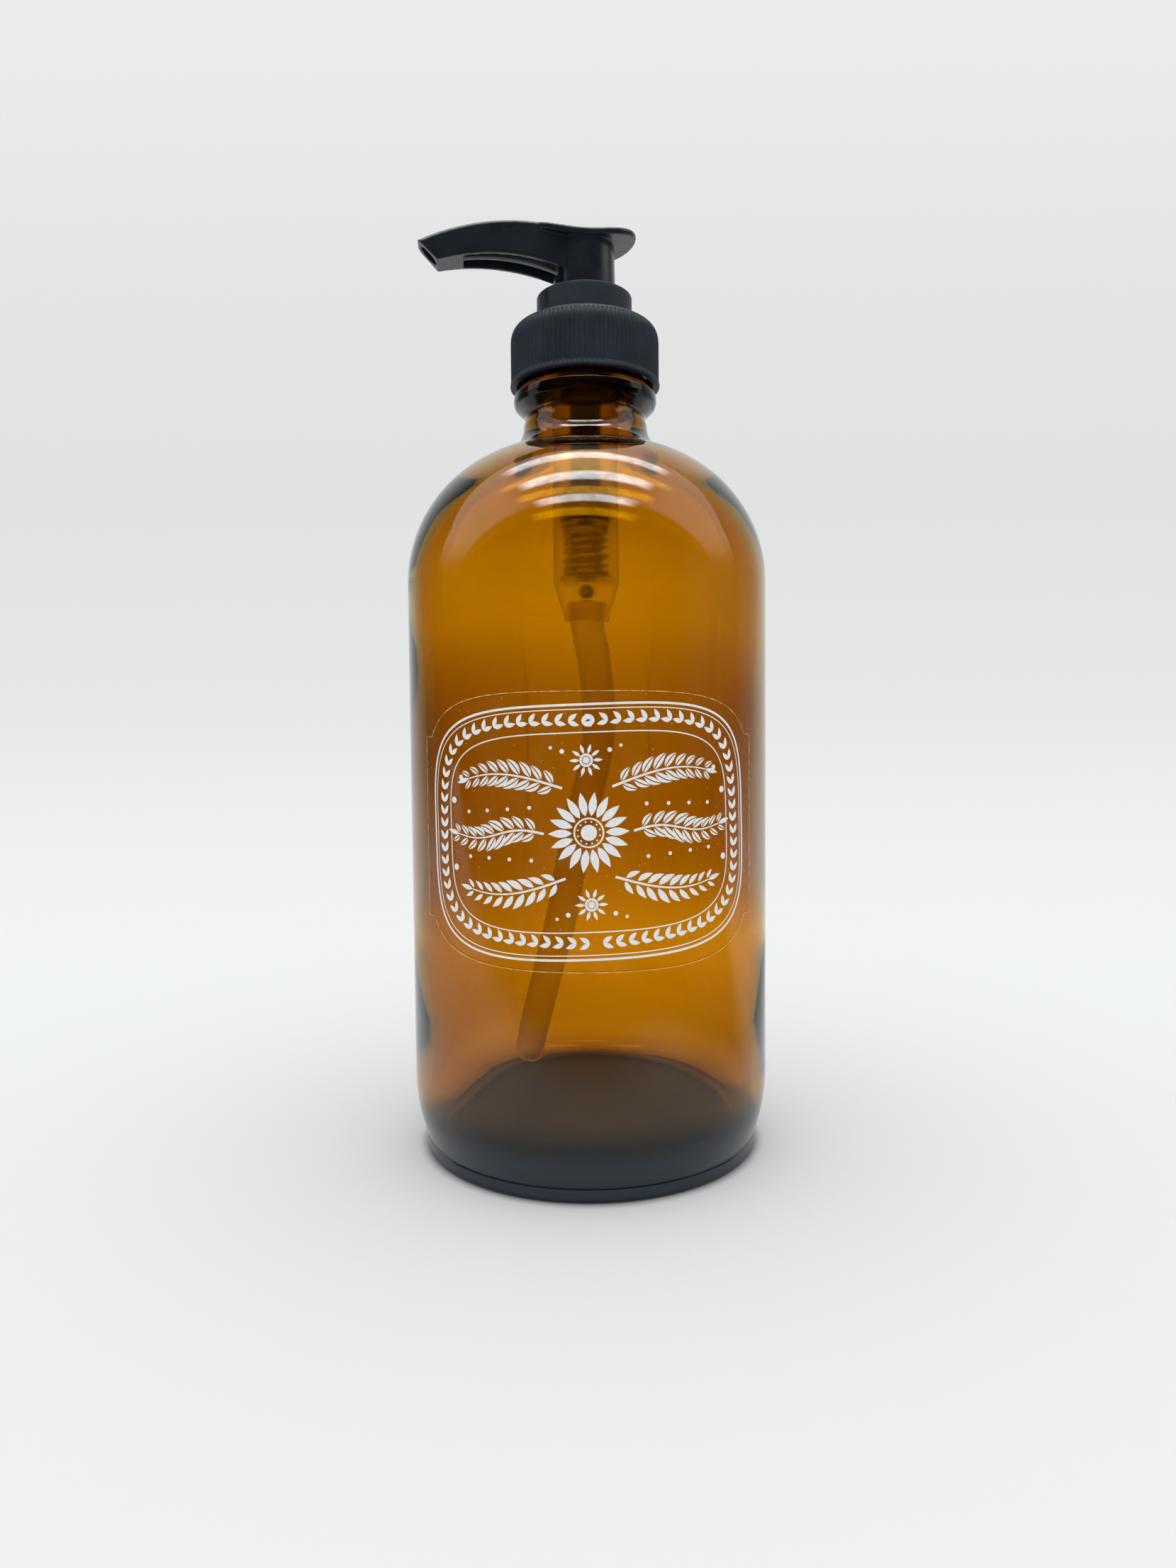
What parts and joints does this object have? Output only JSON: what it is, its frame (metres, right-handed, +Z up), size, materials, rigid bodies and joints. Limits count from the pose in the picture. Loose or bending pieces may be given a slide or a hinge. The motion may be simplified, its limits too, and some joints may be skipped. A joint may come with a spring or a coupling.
{
  "type": "soap pump dispenser",
  "caption": "Amber glass round bottle with a lock-down lotion pump, ribbed closure, dip tube and a clear wrap label.",
  "frame": {"origin": "centre of the bottle's base, on the surface it stands on", "axes": "+Z up along the bottle's axis; the label faces -Y; the spout points to -X, turned 6 degrees towards -Y"},
  "size_m": [0.074, 0.0743, 0.1891],
  "materials": {
    "amber_glass": "polished amber container glass",
    "label_film": "clear adhesive film with white print",
    "black_plastic": "satin black polypropylene",
    "natural_plastic": "milky natural polypropylene",
    "piston_plastic": "natural polyethylene",
    "gasket_foam": "white foam",
    "spring_steel": "stainless wire and balls"
  },
  "bodies": {
    "bottle": {"bottle": "amber_glass", "label": "label_film"},
    "pump": {"housing": "natural_plastic", "gasket": "gasket_foam", "lock_collar": "black_plastic", "ball_cage": "natural_plastic", "return_spring": "spring_steel", "dip_tube": "natural_plastic"},
    "closure": {"closure": "black_plastic"},
    "plunger": {"piston": "piston_plastic"},
    "head": {"actuator": "black_plastic", "stem": "black_plastic", "piston_seat": "black_plastic"},
    "inlet_ball": {"inlet_ball": "spring_steel"},
    "outlet_ball": {"outlet_ball": "spring_steel"}
  },
  "joints": [
    {"name": "pump_rise", "type": "slide", "parent": "bottle", "child": "pump", "axis": [0, 0, 1], "range_m": [0, 0.00635]},
    {"name": "closure_turn", "type": "hinge", "parent": "pump", "child": "closure", "pos_m": [0, 0, 0.163], "axis": [0, 0, 1], "range_deg": [0, 540]},
    {"name": "head_stroke", "type": "slide", "parent": "pump", "child": "plunger", "axis": [0, 0, 1], "range_m": [0, 0.0145], "deforming": ["return_spring"]},
    {"name": "head_swivel", "type": "hinge", "parent": "plunger", "child": "head", "pos_m": [0, 0, 0.18], "axis": [0, 0, 1], "continuous": true},
    {"name": "inlet_ball_lift", "type": "slide", "parent": "pump", "child": "inlet_ball", "axis": [0, 0, 1], "range_m": [0, 0.001]},
    {"name": "outlet_ball_lift", "type": "slide", "parent": "head", "child": "outlet_ball", "axis": [0, 0, 1], "range_m": [0, 0.001]}
  ],
  "couplings": [
    {"joint": "pump_rise", "follows": "closure_turn", "m_per_rad": 0.00067354}
  ]
}
